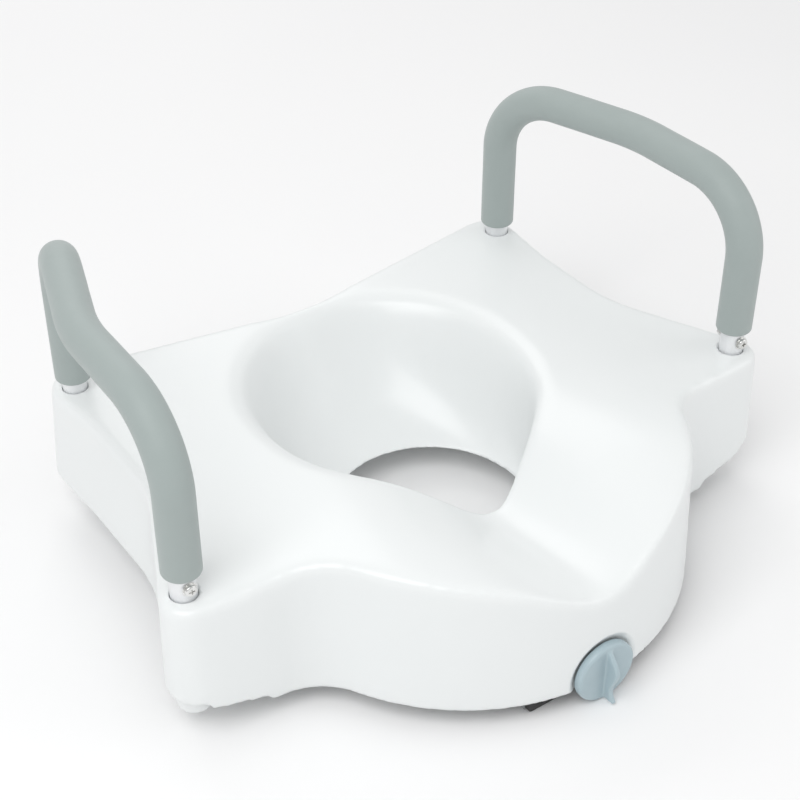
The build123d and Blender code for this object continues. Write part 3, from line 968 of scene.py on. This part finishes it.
# ------------------------------------------------------------------ knob and clamp
@dataclass
class LockKnob:
    """The round knob with its grip fin, on the lock rod."""

    name: str = "knob_moulding"
    node: str = "lock_knob"
    voxel: float = 0.0006
    rounds: int = 10

    def build(self, shop: Workshop) -> None:
        """Makes the knob with moulded edges and dresses the rod's fittings.

        Args:
            shop: the workshop that adds them.
        """
        bm = welded(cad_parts[self.node].data)
        start = bpy.data.meshes.new("knob_start")
        bm.to_mesh(start)
        bm.free()
        mesh = remeshed(start, self.voxel)
        relax(mesh, np.full(len(mesh.vertices), 0.5), self.rounds)
        shop.add(self.name, mesh, Slot.KNOB, "knob", [self.node])
        for node in ("lock_rod", "knob_washer", "rod_washer", "rod_clip"):
            shop.dress(node, Slot.ZINC)


@dataclass
class Clamp:
    """The sliding jaw with its rubber pad."""

    def build(self, shop: Workshop) -> None:
        """Dresses the jaw's pieces.

        Args:
            shop: the workshop that dresses them.
        """
        shop.dress("clamp_bracket", Slot.STEEL)
        shop.dress("clamp_pad", Slot.RUBBER)
        shop.dress("clamp_nut", Slot.ZINC)
        shop.dress("pad_rivets", Slot.ZINC)


@dataclass
class Underside:
    """The fixed fittings under the plate."""

    def build(self, shop: Workshop) -> None:
        """Dresses the guides and the rim pads.

        Args:
            shop: the workshop that dresses them.
        """
        shop.dress("guide_screws", Slot.ZINC)
        shop.dress("guide_washers", Slot.ZINC)
        shop.dress("rim_pads", Slot.RUBBER)


# ------------------------------------------------------------------ studio
@dataclass
class Studio:
    """A pale floor, soft lights and the camera."""

    floor_size: float = 12.0
    lens: float = 73.82
    sensor: float = 36.0
    camera_place: Colour = (-0.6163, -0.8390, 0.9195)
    camera_turn: Colour = (53.30, 0.0, -34.776)
    surround: float = 0.62
    middle: Colour = (0.0, 0.0, 0.1)

    def floor(self) -> None:
        """Adds the floor."""
        half = self.floor_size / 2
        verts = np.array([(-half, -half, 0), (half, -half, 0), (half, half, 0), (-half, half, 0)])
        mesh = mesh_from(verts, [(0, 1, 2, 3)], "floor")
        floor = bpy.data.objects.new("floor", mesh)
        bpy.context.scene.collection.objects.link(floor)
        g = Graph("pale floor")
        g.feed("Base Color", g.colour_between(g.noise(0.4, 2.0), (0.92, 0.92, 0.92),
                                              (0.90, 0.90, 0.905)))
        g.shader.inputs["Roughness"].default_value = 0.9
        g.shader.inputs["Specular IOR Level"].default_value = 0.1
        mesh.materials.append(g.material)

    def light(self, name: str, place: Colour, size: float, power: float) -> None:
        """Adds a square soft light that faces the seat.

        Args:
            name: its name.
            place: where it stands.
            size: its side.
            power: its watts.
        """
        data = bpy.data.lights.new(name, "AREA")
        data.size = size
        data.energy = power
        lamp = bpy.data.objects.new(name, data)
        bpy.context.scene.collection.objects.link(lamp)
        lamp.location = place
        aim = Vector(self.middle) - Vector(place)
        lamp.rotation_euler = aim.to_track_quat("-Z", "Y").to_euler()

    def world(self) -> None:
        """Sets an even pale surround."""
        world = bpy.data.worlds.new("surround")
        world.use_nodes = True
        background = world.node_tree.nodes["Background"]
        background.inputs["Color"].default_value = (1.0, 1.0, 1.0, 1.0)
        background.inputs["Strength"].default_value = self.surround
        bpy.context.scene.world = world

    def camera(self) -> None:
        """Adds the camera."""
        data = bpy.data.cameras.new("camera")
        data.lens = self.lens
        data.sensor_width = self.sensor
        data.clip_end = 100.0
        camera = bpy.data.objects.new("camera", data)
        bpy.context.scene.collection.objects.link(camera)
        camera.location = self.camera_place
        camera.rotation_euler = [math.radians(a) for a in self.camera_turn]
        bpy.context.scene.camera = camera

    def build(self) -> None:
        """Adds everything."""
        self.camera()
        self.floor()
        self.world()
        self.light("key", (-1.2, -0.6, 2.0), 1.6, 26.0)
        self.light("fill", (1.8, -1.4, 1.2), 1.8, 9.0)
        self.light("back", (0.4, 2.0, 1.6), 1.6, 10.0)
        bpy.context.scene.view_settings.view_transform = "Standard"


def main() -> None:
    """Builds the seat piece by piece, then the studio."""
    logging.basicConfig(level=logging.INFO, format="%(name)s %(message)s")
    shop = Workshop()
    shell = SeatShell()
    shell.build(shop)
    for side in Side:
        Arm(side, shell).build(shop)
    LockKnob().build(shop)
    Clamp().build(shop)
    Underside().build(shop)
    Studio().build()


if __name__ == "__main__":
    main()
